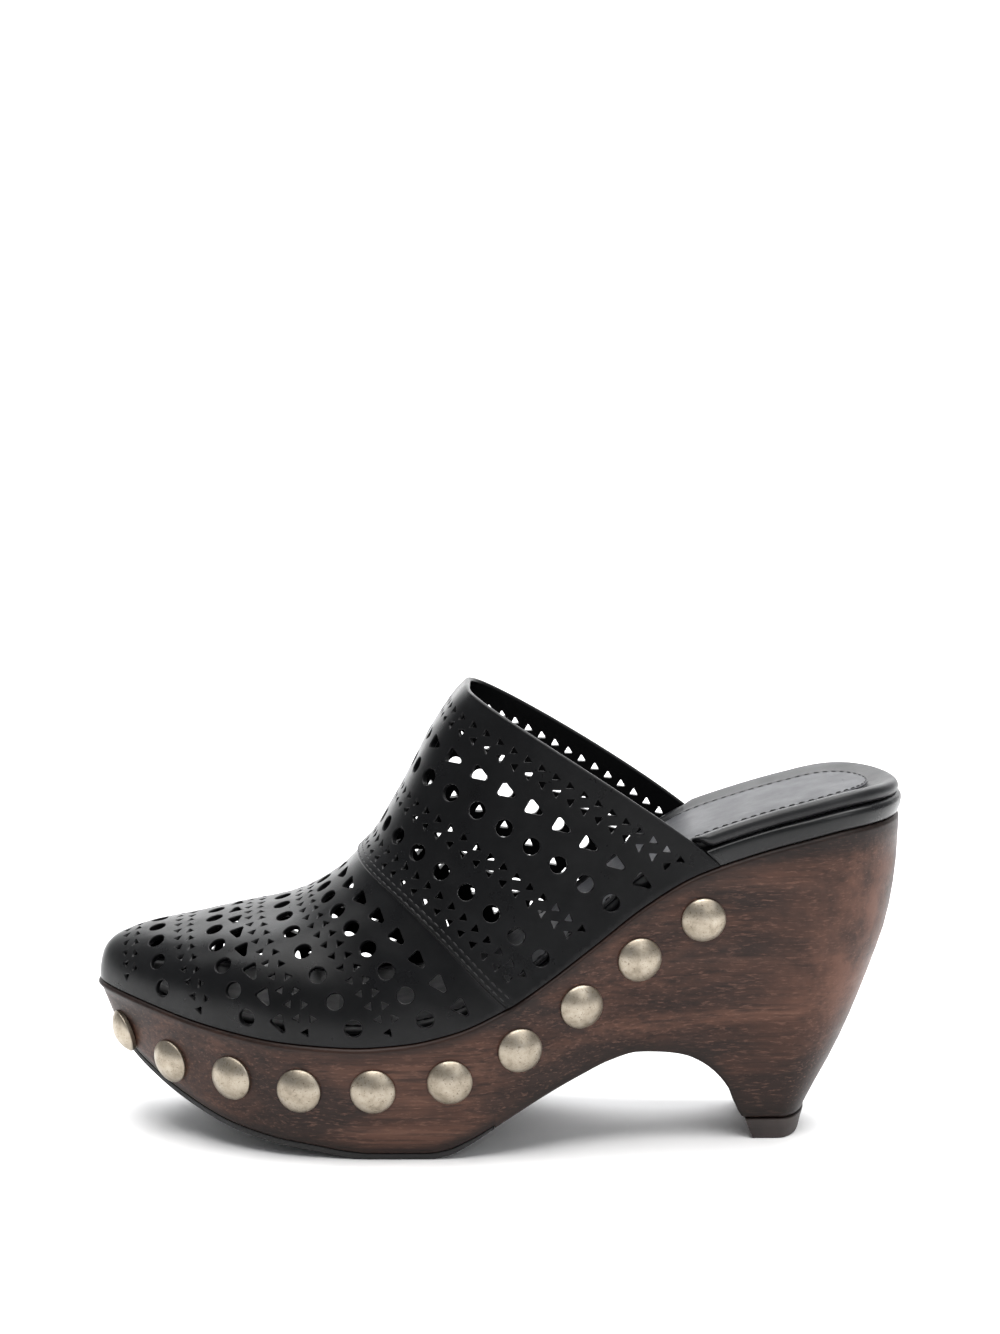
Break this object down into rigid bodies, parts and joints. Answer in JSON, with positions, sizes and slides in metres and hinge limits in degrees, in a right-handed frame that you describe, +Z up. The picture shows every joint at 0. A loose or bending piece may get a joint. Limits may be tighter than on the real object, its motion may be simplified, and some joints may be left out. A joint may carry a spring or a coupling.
{
  "type": "studded wooden clog mule",
  "caption": "Backless mule with a perforated leather upper and padded footbed on a one-piece wooden platform with a high curved heel, edged with domed studs.",
  "frame": {"origin": "middle of the shoe's bounding box, on the floor it stands on", "axes": "+X from the toe to the heel, +Y to the inner side of the foot, +Z up"},
  "size_m": [0.2486, 0.093, 0.138],
  "materials": {
    "wood": "satin, stained",
    "outsole_rubber": "matte",
    "lift_rubber": "matte",
    "upper_leather": "satin",
    "lining_leather": "satin",
    "band_leather": "gloss",
    "sock_leather": "satin",
    "stud_brass": "antique, satin"
  },
  "bodies": {
    "root": {"wood_sole": "wood", "outsole": "outsole_rubber", "heel_lift": "lift_rubber", "upper": "upper_leather", "footbed": "lining_leather", "side_band": "band_leather", "sock_panel": "sock_leather", "stud_lateral_01": "stud_brass", "stud_lateral_02": "stud_brass", "stud_lateral_03": "stud_brass", "stud_lateral_04": "stud_brass", "stud_lateral_05": "stud_brass", "stud_lateral_06": "stud_brass", "stud_lateral_07": "stud_brass", "stud_lateral_08": "stud_brass", "stud_lateral_09": "stud_brass", "stud_lateral_10": "stud_brass", "stud_medial_01": "stud_brass", "stud_medial_02": "stud_brass", "stud_medial_03": "stud_brass", "stud_medial_04": "stud_brass", "stud_medial_05": "stud_brass", "stud_medial_06": "stud_brass", "stud_medial_07": "stud_brass", "stud_medial_08": "stud_brass", "stud_medial_09": "stud_brass", "stud_medial_10": "stud_brass"}
  },
  "joints": []
}
